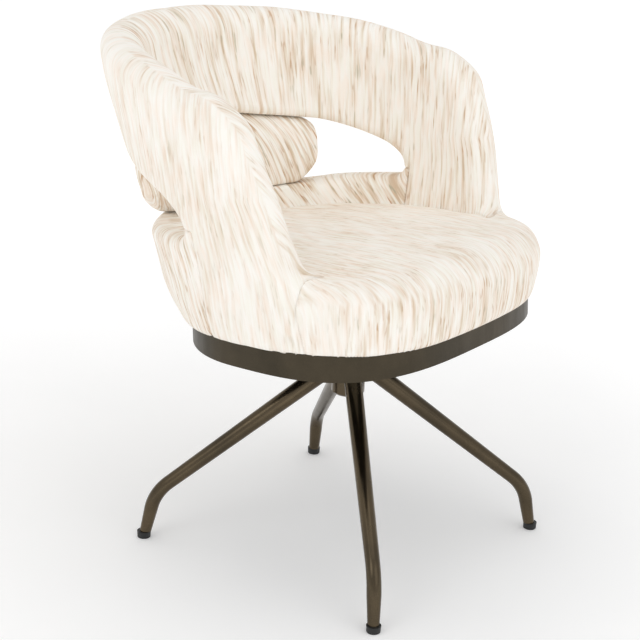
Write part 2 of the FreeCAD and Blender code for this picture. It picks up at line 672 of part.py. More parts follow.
os.makedirs("parts", exist_ok=True)
for o in PARTS:
    shape = o.Shape
    shape.exportStep("parts/%s.step" % o.Label)
    bb = shape.BoundBox
    print("%-18s solids %d  vol %9.1f cm3  x %.0f..%.0f  y %.0f..%.0f  z %.0f..%.0f" % (
        o.Label, len(shape.Solids), shape.Volume / 1e3, bb.XMin, bb.XMax, bb.YMin, bb.YMax, bb.ZMin, bb.ZMax))
print(len(PARTS), "nodes")
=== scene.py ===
import bpy
import json
import math
import numpy as np
from mathutils import Matrix, Vector


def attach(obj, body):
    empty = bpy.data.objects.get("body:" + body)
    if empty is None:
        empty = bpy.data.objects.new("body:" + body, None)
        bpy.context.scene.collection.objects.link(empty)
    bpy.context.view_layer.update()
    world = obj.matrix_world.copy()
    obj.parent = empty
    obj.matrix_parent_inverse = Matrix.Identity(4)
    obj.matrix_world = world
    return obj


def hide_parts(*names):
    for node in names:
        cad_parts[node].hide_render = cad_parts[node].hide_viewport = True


# Swivel dining chair: the looks. Upholstery is shaped in the seat's own tilted frame, in
# millimetres (x to the sitter's left, -y the way the sitter faces, z up from the ring's
# lower edge on the swivel axis), and is then set in the row frame in metres.

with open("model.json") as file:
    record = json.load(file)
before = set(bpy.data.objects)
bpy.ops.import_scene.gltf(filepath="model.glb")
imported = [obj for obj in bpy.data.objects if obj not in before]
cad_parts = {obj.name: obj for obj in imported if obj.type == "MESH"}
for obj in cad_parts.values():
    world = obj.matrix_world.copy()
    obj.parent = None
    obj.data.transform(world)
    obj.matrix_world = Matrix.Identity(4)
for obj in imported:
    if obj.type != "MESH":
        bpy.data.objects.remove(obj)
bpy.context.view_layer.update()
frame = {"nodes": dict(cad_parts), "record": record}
scene = bpy.context.scene
scene.view_settings.view_transform = "Standard"
nodes = frame["nodes"]

TILT = math.radians(4.5)
CT, ST = math.cos(TILT), math.sin(TILT)
AXIS_Y, PIVOT = -92.4, 346.2
STEP = 3.0


def row_frame(v):
    v = np.asarray(v, float)
    return np.stack([v[:, 0], CT * v[:, 1] + ST * v[:, 2] + AXIS_Y,
                     PIVOT + CT * v[:, 2] - ST * v[:, 1]], -1) / 1000.0


# ------------------------------------------------------------------ small maths

def smooth01(a, b, x):
    t = np.clip((x - a) / (b - a), 0, 1)
    return t * t * (3 - 2 * t)


def smax(a, b, k):
    h = np.maximum(k - np.abs(a - b), 0) / np.maximum(k, 1e-6)
    return np.maximum(a, b) + h * h * k * 0.25


def smin(a, b, k):
    return -smax(-a, -b, k)


def rounded(q1, q2, r):
    """Meeting of two half spaces with a rounded edge: distances d1, d2 given as d + r."""
    return np.minimum(np.maximum(q1, q2), 0) + np.hypot(np.maximum(q1, 0), np.maximum(q2, 0)) - r


def through(pts, n=8, closed=False):
    """A Catmull-Rom curve through the points."""
    pts = np.asarray(pts, float)
    if closed:
        p = np.vstack([pts[-1], pts, pts[0], pts[1]])
    else:
        p = np.vstack([2 * pts[0] - pts[1], pts, 2 * pts[-1] - pts[-2]])
    out = []
    for i in range(1, len(p) - 2):
        p0, p1, p2, p3 = p[i - 1:i + 3]
        for t in np.linspace(0, 1, n, endpoint=False):
            out.append(0.5 * (2 * p1 + (p2 - p0) * t + (2 * p0 - 5 * p1 + 4 * p2 - p3) * t * t
                              + (3 * p1 - p0 - 3 * p2 + p3) * t ** 3))
    if not closed:
        out.append(pts[-1])
    return np.array(out)


def outline_distance(px, pz, poly, closed=True):
    """(signed distance, length along the outline at the nearest point); negative inside."""
    poly = np.asarray(poly, float)
    p = np.stack([np.ravel(px), np.ravel(pz)], -1)
    d = np.full(len(p), 1e18)
    where = np.zeros(len(p))
    inside = np.zeros(len(p), bool)
    run = 0.0
    for i in range(len(poly) if closed else len(poly) - 1):
        a, b = poly[i], poly[(i + 1) % len(poly)]
        e = b - a
        ll = float(e @ e)
        if ll < 1e-9:
            continue
        w = p - a
        t = np.clip((w @ e) / ll, 0, 1)
        q = w - t[:, None] * e
        dd = (q ** 2).sum(1)
        near = dd < d
        d = np.where(near, dd, d)
        where = np.where(near, run + t * math.sqrt(ll), where)
        c = (a[1] > p[:, 1]) != (b[1] > p[:, 1])
        if c.any():
            xi = e[0] * (p[:, 1] - a[1]) / (e[1] if abs(e[1]) > 1e-12 else 1e-12) + a[0]
            inside ^= c & (p[:, 0] < xi)
        run += math.sqrt(ll)
    d = np.sqrt(d)
    if closed:
        d = np.where(inside, -d, d)
    return d.reshape(np.shape(px)), where.reshape(np.shape(px))


# ------------------------------------------------------------------ the tub's own shape

T = 66.0                       # padded wall
LIP = 31.0                     # the cover's lowest edge, just over the top of the metal ring
NF, NB, TAPER = 2.9, 2.25, 0.10

# height, half width, rear extent, front extent, centre
SKIN = [
    (0, 262, 213, 230, 13), (38, 264.5, 219, 231.5, 13), (60, 272, 242, 236, 13), (80, 275.5, 255, 238, 13.5),
    (100, 278, 265, 239, 14), (125, 283, 270, 238, 15), (150, 288, 274, 236, 16), (200, 299.5, 287, 233, 18),
    (250, 305.5, 304, 233, 20), (300, 310.7, 328, 233, 22), (350, 313.5, 350, 233, 24),
    (400, 315.3, 364, 233, 26), (460, 317, 373, 233, 28), (520, 318, 378, 233, 29),
]


def skin_table():
    rows = np.array(SKIN, float)
    z = np.arange(-60, 581, 1.0)
    w = np.exp(-0.5 * (np.arange(-40, 41) / 12.0) ** 2)
    w /= w.sum()
    cols = []
    for k in range(1, 5):
        f = np.interp(z, rows[:, 0], rows[:, k])
        cols.append(np.convolve(np.pad(f, 40, mode="edge"), w, mode="valid"))
    return z, cols


SKIN_Z, SKIN_COLS = skin_table()


def skin_at(z):
    return [np.interp(z, SKIN_Z, c) for c in SKIN_COLS]


def oval(x, y, half, rear, front, mid, nf, nb, taper_len, taper):
    """Near-distance from an egg-shaped outline, negative inside."""
    yy = y - mid
    b = np.where(yy > 0, rear - mid, mid + front)
    n = np.where(yy > 0, nb, nf)
    aa = half * (1 - taper * yy / taper_len)
    u, v = np.abs(x) / aa, np.abs(yy) / b
    f = u ** n + v ** n + 1e-12
    inv = f ** (1 / n - 1)
    gx, gy = inv * u ** (n - 1) / aa, inv * v ** (n - 1) / b
    return (inv * f - 1) / (np.hypot(gx, gy) + 1e-9)


def skin_distance(x, y, z):
    a, yr, yf, yc = skin_at(z)
    return oval(x, y, a, yr, yf, yc, NF, NB, 420.0, TAPER)


def ring_distance(x, y):
    w, ll, split, yc = 518.5, 427.0, 0.545, 13.7
    return oval(x, y, w / 2, yc + ll * (1 - split), ll * split - yc, yc, 3.1, 2.16, ll, 0.12)


# side view of the arms and the back: y, z
SIDE = through([(-107, -20), (-104, 40), (-100, 100), (-98, 140), (-78, 225), (-53.5, 300), (-37, 341.3), (8, 372.6),
                (60, 385), (130, 408.5), (220, 428.2), (300, 441.3), (400, 460.2)], 6)
SIDE_CLOSED = np.vstack([SIDE, [(640, 462), (640, -80), (-107, -80)]])

# the cut-out in the back, opened flat: distance round from the middle of the back, height
CUT = np.array([(0, 288), (60, 286), (125, 277), (190, 268), (219, 264), (252, 256), (296, 243), (331, 230),
                (351, 216), (361, 202), (363, 188), (354, 178), (330, 175.5), (251, 173), (192, 170), (0, 169)], float)
CUT_CLOSED = through(np.vstack([CUT, (CUT * [-1, 1])[::-1][1:-1]]), 6, closed=True)

_tt = np.linspace(0, np.pi, 721)


def _round_the_back():
    c, s = np.sin(_tt), np.cos(_tt)
    k = (np.abs(c) ** 2.3 + np.abs(s) ** 2.3) ** (-1 / 2.3)
    x, y = 250.0 * c * k, 262.0 * s * k
    return np.concatenate([[0], np.cumsum(np.hypot(np.diff(x), np.diff(y)))])


_LEN = _round_the_back()


def round_distance(x, y):
    """Length round the tub from the middle of the back, plus to the sitter's left."""
    th = np.arctan2(np.abs(x) / 250.0, (y - 20.0) / 262.0)
    return np.interp(th, _tt, _LEN) * np.where(x < 0, -1.0, 1.0)


def table2d(poly, lo, hi, h):
    xs, zs = np.arange(lo[0], hi[0] + h, h), np.arange(lo[1], hi[1] + h, h)
    gx, gz = np.meshgrid(xs, zs, indexing="ij")
    d, _ = outline_distance(gx, gz, poly)
    d = d.astype(np.float32)

    def read(x, z):
        fx = np.clip((x - lo[0]) / h, 0, len(xs) - 1.001)
        fz = np.clip((z - lo[1]) / h, 0, len(zs) - 1.001)
        i, j = fx.astype(np.int32), fz.astype(np.int32)
        a, b = (fx - i).astype(np.float32), (fz - j).astype(np.float32)
        return (d[i, j] * (1 - a) * (1 - b) + d[i + 1, j] * a * (1 - b)
                + d[i, j + 1] * (1 - a) * b + d[i + 1, j + 1] * a * b)
    return read


side_distance = table2d(SIDE_CLOSED, (-300, -60), (460, 540), 3.0)
cut_distance = table2d(CUT_CLOSED, (-20, 100), (640, 380), 2.0)


def seat_top(x, y):
    return 134.0 + 12.0 * np.clip(1 - (x / 240.0) ** 2 - ((y + 15.0) / 255.0) ** 2, 0, 1)


def upholstery(x, y, z):
    """Distances of the four covers at points of the half x >= 0 (the shape is mirrored)."""
    d = skin_distance(x, y, z)
    s = np.abs(round_distance(x, y))
    fy = side_distance(y + 0 * x, z)
    fw = cut_distance(s + 0 * z, z + 0 * x)
    half = np.abs(d + T / 2) - T / 2
    wall = rounded(fy + 32.0, half + 32.0, 32.0)
    rw = 15.0 + 5.0 * smooth01(230, 195, z)
    rw = rw - (rw - 6.0) * smooth01(-30, -45, d) * smooth01(205, 185, s) * smooth01(225, 195, z)
    wall = np.maximum(wall, rounded(-fw + rw, half + rw, rw))
    # the seat fills the tub and comes forward, level with the arms' outer faces
    top = seat_top(x, y)
    rs = 45.0
    seat = rounded(z - top + rs, d + rs, rs)
    k = 3.0 + 22.0 * smooth01(-62, -96, y) * smooth01(3, -16, d) * smooth01(90, 120, z)
    both = smin(wall, seat, k)
    # stuffing is never quite even
    both = both + 0.55 * (np.sin(x / 23.0 + 1.3 * np.sin(y / 31.0)) * np.sin(z / 19.0 + 0.9 * np.sin(x / 37.0 + 1.0))
                          + np.sin(y / 17.0 + 1.1 * np.sin(z / 29.0)) * np.sin(x / 33.0 + y / 41.0 + 2.0))
    both = smax(both, LIP - z, 15.0)
    keep_off = -np.maximum(ring_distance(x, y) - 0.9, z - 38.4)
    both = np.maximum(both, keep_off)
    column = np.maximum(-T - d, fy - 8.0)         # the wall's own column, down to the ring
    rim = np.maximum(51.0 - y, z - 190.0)         # between the two side seams
    inside = smooth01(-20, -55, d)
    cushion = smax(both, -column - 0.3 + 0.6 * inside, 0.4 + 7.0 * inside)
    shell = np.maximum(both, column)
    hoop = smax(shell, -rim + 0.1, 4.5)
    band = smax(shell, rim + 0.1, 4.5)
    # lumbar pad: fills the middle of the cut-out, full in its middle
    end = s - (214.0 - 24.0 * smooth01(215, 170, z) - 6.0 * smooth01(250, 280, z))
    crown = (1 - np.clip(np.abs(z - 226) / 62.0, 0, 1) ** 2) * (1 - 0.2 * np.clip(s / 215.0, 0, 1) ** 3)
    face = np.abs(d + 33.5) - (30.0 + 8.0 * crown)
    pad = smax(smax(fw + 0.4, end, 34.0), face, 14.0 + 20.0 * smooth01(196, 216, z))
    return {"hoop": hoop, "rim": band, "cushion": cushion, "pad": pad, "all": both}


# ------------------------------------------------------------------ skin meshes

def skin_mesh(f, lo, h):
    """One vertex per crossed cell, one quad per crossed grid edge."""
    nx, ny, nz = f.shape
    s = f < 0
    cells = [s[i:nx - 1 + i, j:ny - 1 + j, k:nz - 1 + k] for i in (0, 1) for j in (0, 1) for k in (0, 1)]
    count = sum(c.astype(np.int8) for c in cells)
    act = (count > 0) & (count < 8)
    ii = np.argwhere(act)
    idx = -np.ones(act.shape, np.int32)
    idx[act] = np.arange(len(ii))
    v, w = np.zeros((len(ii), 3)), np.zeros(len(ii))
    i0, j0, k0 = ii.T
    corners = [(i, j, k) for i in (0, 1) for j in (0, 1) for k in (0, 1)]
    for a in corners:
        for b in corners:
            if sum(abs(p - q) for p, q in zip(a, b)) != 1 or a > b:
                continue
            fa = f[i0 + a[0], j0 + a[1], k0 + a[2]].astype(float)
            fb = f[i0 + b[0], j0 + b[1], k0 + b[2]].astype(float)
            m = (fa < 0) != (fb < 0)
            t = np.where(m, fa / np.where(m, fa - fb, 1), 0)
            for c in range(3):
                v[:, c] += np.where(m, a[c] + t * (b[c] - a[c]), 0)
            w += m
    v = np.asarray(lo) + h * (v / w[:, None] + ii)
    quads = []
    for ax in range(3):
        s0, s1 = [slice(None)] * 3, [slice(None)] * 3
        s0[ax], s1[ax] = slice(0, -1), slice(1, None)
        a, b = s[tuple(s0)], s[tuple(s1)]
        o = [c for c in range(3) if c != ax]
        chg = np.argwhere(a != b)
        ok = np.ones(len(chg), bool)
        for c in o:
            ok &= (chg[:, c] > 0) & (chg[:, c] < f.shape[c] - 1)
        chg = chg[ok]
        inside = a[tuple(chg.T)]

        def cell(du, dv):
            q = chg.copy()
            q[:, o[0]] -= du
            q[:, o[1]] -= dv
            return idx[q[:, 0], q[:, 1], q[:, 2]]

        q = np.stack([cell(1, 1), cell(0, 1), cell(0, 0), cell(1, 0)], -1)
        flip = inside if ax != 1 else ~inside
        q[~flip] = q[~flip][:, ::-1]
        quads.append(q)
    return v, np.vstack(quads)


def settle(v, quads, f, lo, h, rounds=3):
    """Evens out the skin and puts it back on the surface of the distance field."""
    f = f.astype(np.float32)
    grad = np.gradient(f, h)

    def read(g, p):
        c = (p - lo) / h
        top = np.array(g.shape) - 1.001
        c = np.clip(c, 0, top)
        i = c.astype(np.int32)
        t = c - i
        out = 0
        for a in (0, 1):
            for b in (0, 1):
                for d in (0, 1):
                    wt = (t[:, 0] if a else 1 - t[:, 0]) * (t[:, 1] if b else 1 - t[:, 1]) * (t[:, 2] if d else 1 - t[:, 2])
                    out = out + wt * g[i[:, 0] + a, i[:, 1] + b, i[:, 2] + d]
        return out

    e = np.vstack([quads[:, [0, 1]], quads[:, [1, 2]], quads[:, [2, 3]], quads[:, [3, 0]]])
    n = len(v)
    deg = np.bincount(e[:, 0], minlength=n) + np.bincount(e[:, 1], minlength=n)
    for r in range(rounds):
        acc = np.zeros((n, 3))
        for c in range(3):
            acc[:, c] = (np.bincount(e[:, 0], v[e[:, 1], c], minlength=n)
                         + np.bincount(e[:, 1], v[e[:, 0], c], minlength=n))
        v = v + 0.5 * (acc / deg[:, None] - v)
        for _ in range(2):
            val = read(f, v)
            g = np.stack([read(gg, v) for gg in grad], -1)
            gg2 = (g ** 2).sum(1) + 1e-6
            step = np.clip(val / np.sqrt(gg2), -h, h)
            v = v - (step / np.sqrt(gg2))[:, None] * g
    return v


def build_covers():
    h = STEP
    lo = np.array([h / 2, -262.0, 24.0])
    hi = np.array([336.0, 392.0, 474.0])
    n = ((hi - lo) / h).astype(int) + 2
    x = (lo[0] + h * np.arange(n[0])).astype(np.float32)
    y = (lo[1] + h * np.arange(n[1])).astype(np.float32)
    z = (lo[2] + h * np.arange(n[2])).astype(np.float32)
    gx, gy, gz = x[:, None, None], y[None, :, None], z[None, None, :]
    fields = upholstery(gx, gy, gz)
    out = {}
    fields.pop("all")
    for name, f in fields.items():
        f = np.broadcast_to(f, tuple(n)).astype(np.float32)
        full = np.concatenate([f[::-1], f], 0)
        box = np.argwhere(full < 6.0)
        a, b = np.maximum(box.min(0) - 3, 0), np.minimum(box.max(0) + 4, full.shape)
        part = np.ascontiguousarray(full[a[0]:b[0], a[1]:b[1], a[2]:b[2]])
        # nothing may run to the edge of the grid
        for ax in range(3):
            edge = [slice(None)] * 3
            for k in (0, -1):
                edge[ax] = k
                part[tuple(edge)] = np.maximum(part[tuple(edge)], 0.5)
        start = np.array([-x[-1], y[0], z[0]], float) + h * a
        v, q = skin_mesh(part, start, h)
        v = settle(v, q, part, start, h)
        out[name] = (v, q)
    return out


def largest_piece(v, q):
    """Drops any crumbs that aren't part of the main skin."""
    n = len(v)
    label = np.arange(n)
    e = np.vstack([q[:, [0, 1]], q[:, [1, 2]], q[:, [2, 3]], q[:, [3, 0]]])
    while True:
        m = np.minimum(label[e[:, 0]], label[e[:, 1]])
        new = label.copy()
        np.minimum.at(new, e[:, 0], m)
        np.minimum.at(new, e[:, 1], m)
        new = new[new]
        if (new == label).all():
            break
        label = new
    ids, counts = np.unique(label, return_counts=True)
    keep = label == ids[counts.argmax()]
    if keep.all():
        return v, q
    index = np.cumsum(keep) - 1
    return v[keep], index[q[keep[q[:, 0]]]]


def new_mesh_object(name, v, faces, smooth=True):
    me = bpy.data.meshes.new(name)
    if isinstance(faces, np.ndarray):
        me.vertices.add(len(v))
        me.vertices.foreach_set("co", np.asarray(v, np.float32).ravel())
        k = faces.shape[1]
        me.loops.add(faces.size)
        me.loops.foreach_set("vertex_index", faces.astype(np.int32).ravel())
        me.polygons.add(len(faces))
        me.polygons.foreach_set("loop_start", np.arange(0, faces.size, k, dtype=np.int32))
        me.polygons.foreach_set("loop_total", np.full(len(faces), k, np.int32))
    else:
        me.from_pydata([tuple(p) for p in v], [], faces)
    me.update(calc_edges=True)
    me.validate()
    if smooth:
        me.polygons.foreach_set("use_smooth", np.ones(len(me.polygons), bool))
    ob = bpy.data.objects.new(name, me)
    scene.collection.objects.link(ob)
    return ob


def shade_as_one(me, v):
    """Where a cover lies on the common outline, its shading follows that outline, so that
    two covers that meet flush show no ridge."""
    def common(p):
        return upholstery(np.abs(p[:, 0]), p[:, 1], p[:, 2])["all"]
    val = common(v)
    g = np.stack([common(v + e) - common(v - e) for e in np.eye(3) * 1.5], -1)
    g /= np.linalg.norm(g, axis=1)[:, None] + 1e-9
    g = np.stack([g[:, 0], CT * g[:, 1] + ST * g[:, 2], CT * g[:, 2] - ST * g[:, 1]], -1)
    own = np.zeros(len(v) * 3, np.float32)
    me.vertices.foreach_get("normal", own)
    own = own.reshape(-1, 3)
    w = (smooth01(1.7, 0.7, np.abs(val)) * ((g * own).sum(1) > 0.5))[:, None]
    n = own * (1 - w) + g * w
    n /= np.linalg.norm(n, axis=1)[:, None] + 1e-9
    me.normals_split_custom_set_from_vertices(n.tolist())


def set_attribute(me, name, values, kind="FLOAT_VECTOR"):
    at = me.attributes.get(name) or me.attributes.new(name, kind, "POINT")
    if kind == "FLOAT_VECTOR":
        at.data.foreach_set("vector", np.asarray(values, np.float32).ravel())
    else:
        at.data.foreach_set("value", np.asarray(values, np.float32).ravel())


# ------------------------------------------------------------------ cloth directions
# Each cover carries two flat maps of its cloth in millimetres (across the streaks, along
# them, and a number that sets that panel apart) and how far the second one replaces the first.

def front_edge_y(z):
    zz = np.array([-20, 40, 100, 140, 225, 300, 341.3, 400.0])
    yy = np.array([-107, -104, -100, -98, -78, -53.5, -37, -25.0])
    return np.interp(z, zz, yy)


def edge_shift(y, z):
    """Streaks near an arm's front edge run parallel to it."""
    zc = np.minimum(z, 245.0)
    lean = smooth01(125, 5, y - front_edge_y(zc))
    return (front_edge_y(zc) - front_edge_y(140.0)) * lean * smooth01(-230, -110, y)


def maps_hoop(v):
    x, y, z = v.T
    dep = np.clip(-skin_distance(x, y, z), 0, T)
    s = round_distance(x, y)
    sign = np.where(x < 0, -1.0, 1.0)
    fy, along = outline_distance(y, z, SIDE_CLOSED)
    shift = edge_shift(y, z)
    arm = smooth01(150, 60, y)
    inner = dep + np.maximum(0, -fy - 33.0)
    top = np.interp(np.maximum(y, -20), SIDE[:, 0], SIDE[:, 1])
    # outer face and the outer half of the roll
    a = np.stack([sign * (np.abs(s) + shift + 0.73 * arm * dep), z + 0.6 * dep, 10.0 + 0 * s], -1)
    # inner face, coming down from the crest
    c = np.stack([sign * (np.abs(s) + shift + 0.73 * arm * (T - dep)), 2 * (top + 20) - z - 0.6 * (T - dep), 10.0 + 0 * s], -1)
    # inner half of the roll on the arms: cloth that follows the edge and slips inwards
    ca, sa = math.cos(math.radians(32)), math.sin(math.radians(32))
    b = np.stack([inner * ca + along * sa + sign * 400.0, along * ca - inner * sa, 24.0 + 0 * s], -1)
    wc = smooth01(30, 36, dep)
    wb = smooth01(19, 22, dep) * smooth01(-50, -36, fy) * smooth01(-240, -290, s) * smooth01(150, 215, z)
    return a, c, wc, b, wb


def maps_rim(v):
    x, y, z = v.T
    d = skin_distance(x, y, z)
    s = round_distance(x, y)
    t = -d / T
    a = np.stack([s + 0.12 * z * np.sign(s), z - d * 0.6, 40.0 + 0 * s], -1)
    b = np.stack([(s + 0.9 * z) / 1.35, (0.9 * s - z) / 1.35, 52.0 + 0 * s], -1)
    return a, b, smooth01(0.40, 0.52, t), b, 0 * s


def maps_pad(v):
    x, y, z = v.T
    d = skin_distance(x, y, z)
    s = round_distance(x, y)
    t = smooth01(0.2, 0.8, -d / T)
    va = (1 - t) * z + t * (600 - z)
    slant = smooth01(0.15, 0.7, -d / T)
    a = np.stack([s + slant * (0.42 * z + 0.0035 * np.maximum(0, z - 215.0) ** 2), va, 66.0 + 0 * s], -1)
    return a, a, 0 * s, a, 0 * s


def maps_cushion(v):
    x, y, z = v.T
    top = seat_top(x, y)
    a = np.stack([x, -y, 80.0 + 0 * x], -1)
    # length round the front from its middle
    th = np.arctan2(x / 262.0, (-(y - 13.0)) / 245.0)
    tt = np.linspace(-np.pi, np.pi, 1441)
    c, s = np.sin(tt), np.cos(tt)
    k = (np.abs(c) ** 2.9 + np.abs(s) ** 2.9) ** (-1 / 2.9)
    px, py = 275.0 * c * k, 250.0 * s * k
    run = np.concatenate([[0], np.cumsum(np.hypot(np.diff(px), np.diff(py)))])
    run -= np.interp(0, tt, run)
    u = np.interp(th, tt, run)
    b = np.stack([u, 228.0 + (top - z), 80.0 + 0 * x], -1)
    d = skin_distance(x, y, z)
    w = smooth01(17, 29, top - z) * smooth01(-60, -40, d)
    # beside the arms the wall carries on their outer cloth
    rd = np.abs(round_distance(x, y))
    sgn = np.where(x < 0, -1.0, 1.0)
    c = np.stack([sgn * (rd + edge_shift(y, z) + 0.73 * np.clip(-d, 0, T)), z, 10.0 + 0 * x], -1)
    w2 = w * smooth01(-185, -125, y)
    return a, b, w, c, w2


# ------------------------------------------------------------------ materials

def srgb(r, g, b):
    out = []
    for c in (r, g, b):
        c /= 255.0
        out.append(c / 12.92 if c <= 0.04045 else ((c + 0.055) / 1.055) ** 2.4)
    return tuple(out)


class Tree:
    def __init__(self, tree):
        self.t = tree

    def node(self, kind, **sets):
        n = self.t.nodes.new(kind)
        for k, val in sets.items():
            setattr(n, k, val)
        return n

    def link(self, a, b):
        self.t.links.new(a, b)

    def put(self, socket, value):
        if hasattr(value, "is_output"):
            self.link(value, socket)
        elif value is not None:
            socket.default_value = value

    def math(self, op, a, b=None, c=None, clamp=False):
        n = self.node("ShaderNodeMath", operation=op, use_clamp=clamp)
        for i, val in enumerate((a, b, c)):
            if val is not None:
                self.put(n.inputs[i], val)
        return n.outputs[0]

    def vmul(self, v, by):
        n = self.node("ShaderNodeVectorMath", operation="MULTIPLY")
        self.put(n.inputs[0], v)
        self.put(n.inputs[1], by)
        return n.outputs[0]

    def vadd(self, v, by):
        n = self.node("ShaderNodeVectorMath", operation="ADD")
        self.put(n.inputs[0], v)
        self.put(n.inputs[1], by)
        return n.outputs[0]

    def noise(self, v, scale=1.0, detail=2.0, rough=0.5, distortion=0.0):
        n = self.node("ShaderNodeTexNoise", noise_dimensions="3D")
        self.put(n.inputs["Vector"], v)
        n.inputs["Scale"].default_value = scale
        n.inputs["Detail"].default_value = detail
        n.inputs["Roughness"].default_value = rough
        n.inputs["Distortion"].default_value = distortion
        return n.outputs["Fac"]

    def span(self, value, a, b, c=0.0, d=1.0, smooth=False):
        n = self.node("ShaderNodeMapRange", clamp=True)
        if smooth:
            n.interpolation_type = "SMOOTHSTEP"
        self.put(n.inputs["Value"], value)
        for key, val in (("From Min", a), ("From Max", b), ("To Min", c), ("To Max", d)):
            n.inputs[key].default_value = val
        return n.outputs["Result"]

    def ramp(self, value, stops):
        n = self.node("ShaderNodeValToRGB")
        r = n.color_ramp
        while len(r.elements) < len(stops):
            r.elements.new(0.5)
        for e, (p, c) in zip(r.elements, stops):
            e.position = p
            e.color = (*c, 1)
        self.put(n.inputs[0], value)
        return n.outputs["Color"]

    def mix(self, fac, a, b, blend="MIX"):
        n = self.node("ShaderNodeMix", data_type="RGBA", blend_type=blend, clamp_factor=True)
        self.put(n.inputs["Factor"], fac)
        for key, val in (("A", a), ("B", b)):
            sock = [s for s in n.inputs if s.name == key and s.type == "RGBA"][0]
            if isinstance(val, tuple):
                val = (*val, 1) if len(val) == 3 else val
            self.put(sock, val)
        return [s for s in n.outputs if s.type == "RGBA"][0]


def new_material(name):
    m = bpy.data.materials.new(name)
    m.use_nodes = True
    for n in list(m.node_tree.nodes):
        m.node_tree.nodes.remove(n)
    t = Tree(m.node_tree)
    out = t.node("ShaderNodeOutputMaterial")
    bsdf = t.node("ShaderNodeBsdfPrincipled")
    t.link(bsdf.outputs[0], out.inputs["Surface"])
    return m, t, bsdf


WHITE = srgb(252, 249, 243)
CREAM = srgb(247, 241, 232)
BEIGE = srgb(237, 225, 210)
TAN = srgb(216, 196, 172)
BROWN = srgb(198, 162, 128)
OLIVE = srgb(190, 182, 160)


def streak_group(name, width, length, tan, fleck, gain=1.0, warp=0.9):
    """The cloth's brushed streaks from a flat map in millimetres: colour and height."""
    g = bpy.data.node_groups.new(name, "ShaderNodeTree")
    g.interface.new_socket("Map", in_out="INPUT", socket_type="NodeSocketVector")
    g.interface.new_socket("Colour", in_out="OUTPUT", socket_type="NodeSocketColor")
    g.interface.new_socket("Height", in_out="OUTPUT", socket_type="NodeSocketFloat")
    t = Tree(g)
    gi, go = t.node("NodeGroupInput"), t.node("NodeGroupOutput")
    uv = gi.outputs["Map"]
    # streaks wander a little sideways
    sway = t.noise(t.vmul(uv, (1 / 34.0, 1 / 60.0, 1.0)), detail=1.0)
    sway = t.math("MULTIPLY", t.math("SUBTRACT", sway, 0.5), warp * 2.0)
    comb = t.node("ShaderNodeCombineXYZ")
    t.link(sway, comb.inputs[0])
    uvw = t.vadd(uv, comb.outputs[0])
    broad = t.noise(t.vmul(uvw, (1 / (width * 2.2), 1 / (length * 1.6), 1.0)), detail=1.0)
    fine = t.noise(t.vadd(t.vmul(uvw, (1 / width, 1 / length, 1.0)), (7.3, 2.1, 3.7)), detail=1.0)
    hair = t.noise(t.vadd(t.vmul(uvw, (2.1 / width, 1.9 / length, 1.0)), (1.3, 5.1, 9.7)), detail=1.0)
    spot = t.noise(t.vadd(t.vmul(uvw, (1 / (width * 0.9), 1 / (length * 0.40), 1.0)), (17.3, 12.1, 1.7)), detail=1.0)
    patch = t.noise(t.vadd(t.vmul(uv, (1 / 70.0, 1 / 130.0, 1.0)), (3.3, 8.1, 6.7)), detail=1.0)
    f = t.math("MULTIPLY_ADD", t.math("SUBTRACT", broad, 0.5), 0.55 * gain, 0.5)
    f = t.math("MULTIPLY_ADD", t.math("SUBTRACT", fine, 0.5), 1.0 * gain, f)
    f = t.math("MULTIPLY_ADD", t.math("SUBTRACT", hair, 0.5), 0.30 * gain, f)
    f = t.math("MULTIPLY_ADD", t.math("SUBTRACT", patch, 0.5), 0.40, f)
    f = t.math("ADD", f, 0.10 - 0.22 * tan)
    col = t.ramp(f, [(0.14, TAN), (0.33, BEIGE), (0.50, CREAM), (0.66, WHITE)])
    dark = t.span(spot, 0.575, 0.70, 0.0, 1.0, smooth=True)
    under = t.span(f, 0.62, 0.30, 0.0, 1.0)
    dark = t.math("MULTIPLY", t.math("MULTIPLY", dark, under), fleck, clamp=True)
    tint = t.noise(t.vadd(t.vmul(uv, (1 / 16.0, 1 / 50.0, 1.0)), (30.3, 1.1, 2.2)), detail=0.0)
    dark_col = t.mix(t.span(tint, 0.36, 0.54), OLIVE, BROWN)
    col = t.mix(dark, col, dark_col)
    hue = t.noise(t.vadd(t.vmul(uv, (1 / 9.0, 1 / 42.0, 1.0)), (11.3, 6.1, 4.2)), detail=1.0)
    col = t.mix(0.85, col, t.ramp(hue, [(0.34, (1.0, 0.950, 0.915)), (0.5, (1.0, 0.995, 0.99)), (0.66, (0.98, 0.98, 0.95))]), "MULTIPLY")
    t.link(col, go.inputs["Colour"])
    height = t.math("MULTIPLY_ADD", t.math("SUBTRACT", f, 0.5), 0.75, 0.5)
    weave = t.noise(t.vadd(t.vmul(uv, (0.9, 0.65, 1.0)), (0.3, 4.1, 5.5)), detail=1.0)
    height = t.math("MULTIPLY_ADD", t.math("SUBTRACT", weave, 0.5), 0.22, height)
    t.link(height, go.inputs["Height"])
    return g


